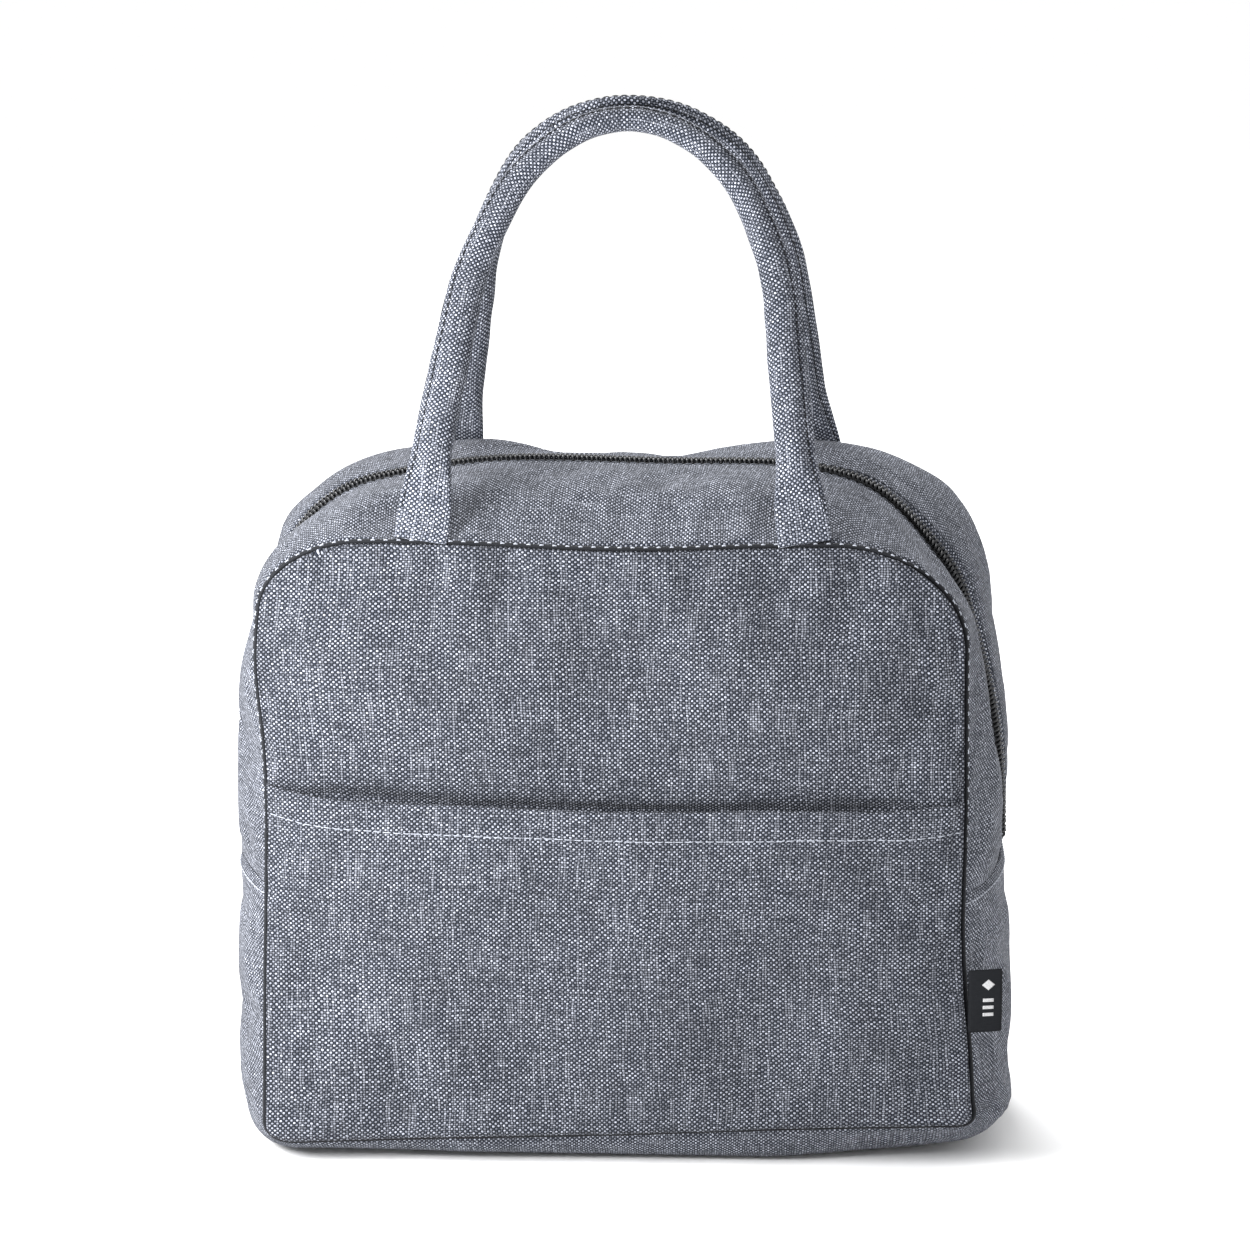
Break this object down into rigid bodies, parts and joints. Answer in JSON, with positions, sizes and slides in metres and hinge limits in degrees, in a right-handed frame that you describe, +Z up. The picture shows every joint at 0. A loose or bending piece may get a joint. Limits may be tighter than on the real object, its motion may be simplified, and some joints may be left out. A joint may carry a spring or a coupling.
{
  "type": "insulated lunch bag",
  "caption": "Soft insulated lunch bag with a front slip pocket, a zip over the top and two rolled carrying handles.",
  "frame": {"origin": "centre of the flat base, on the surface that the bag stands on", "axes": "+X to the right of a person facing the pocket, +Y to the rear, +Z up"},
  "size_m": [0.253, 0.1413, 0.3424],
  "materials": {
    "outer_cloth": "matte",
    "foam": "matte",
    "foil_lining": "satin",
    "zip_tape": "matte",
    "zip_coil": "satin",
    "binding_tape": "matte",
    "label": "satin",
    "handle_cord": "matte",
    "slider_metal": "satin"
  },
  "bodies": {
    "bag": {"base_gusset": "outer_cloth", "rear_panel": "outer_cloth", "rear_zip_strip": "outer_cloth", "front_zip_strip_lower": "outer_cloth", "front_panel_lower": "outer_cloth", "pocket_panel": "outer_cloth", "base_foam": "foam", "rear_foam": "foam", "rear_strip_foam": "foam", "front_strip_foam_lower": "foam", "front_foam_lower": "foam", "lining_base": "foil_lining", "lining_rear": "foil_lining", "lining_rear_strip": "foil_lining", "lining_front_strip_lower": "foil_lining", "lining_front_lower": "foil_lining", "zip_tape_rear": "zip_tape", "zip_teeth_rear": "zip_coil", "zip_tape_front_lower": "zip_tape", "zip_teeth_front_lower": "zip_coil", "seam_binding_rear": "binding_tape", "seam_binding_front_lower": "binding_tape", "side_label": "label"},
    "front_flap": {"front_panel_upper": "outer_cloth", "front_zip_strip": "outer_cloth", "front_foam_upper": "foam", "front_strip_foam": "foam", "lining_front_upper": "foil_lining", "lining_front_strip": "foil_lining", "zip_tape_front": "zip_tape", "zip_teeth_front": "zip_coil", "seam_binding_front_upper": "binding_tape"},
    "front_handle": {"handle_front_cover": "outer_cloth", "handle_front_core": "handle_cord"},
    "rear_handle": {"handle_rear_cover": "outer_cloth", "handle_rear_core": "handle_cord"},
    "zip_slider": {"slider_body": "slider_metal"},
    "zip_pull": {"pull_tab": "slider_metal"}
  },
  "joints": [
    {"name": "mouth_open", "type": "hinge", "parent": "bag", "child": "front_flap", "pos_m": [0, -0.067, 0.13], "axis": [1, 0, 0], "range_deg": [0, 40]},
    {"name": "front_handle_swing", "type": "hinge", "parent": "front_flap", "child": "front_handle", "pos_m": [0, -0.0676, 0.208], "axis": [1, 0, 0], "range_deg": [0, 180]},
    {"name": "rear_handle_swing", "type": "hinge", "parent": "bag", "child": "rear_handle", "pos_m": [0, 0.0676, 0.208], "axis": [-1, 0, 0], "range_deg": [0, 187]},
    {"name": "slider_run", "type": "slide", "parent": "bag", "child": "zip_slider", "axis": [0, 0, 1], "range_m": [0, 0.045]},
    {"name": "pull_swing", "type": "hinge", "parent": "zip_slider", "child": "zip_pull", "pos_m": [-0.1273, 0, 0.106], "axis": [0, 1, 0], "range_deg": [0, 170]}
  ]
}
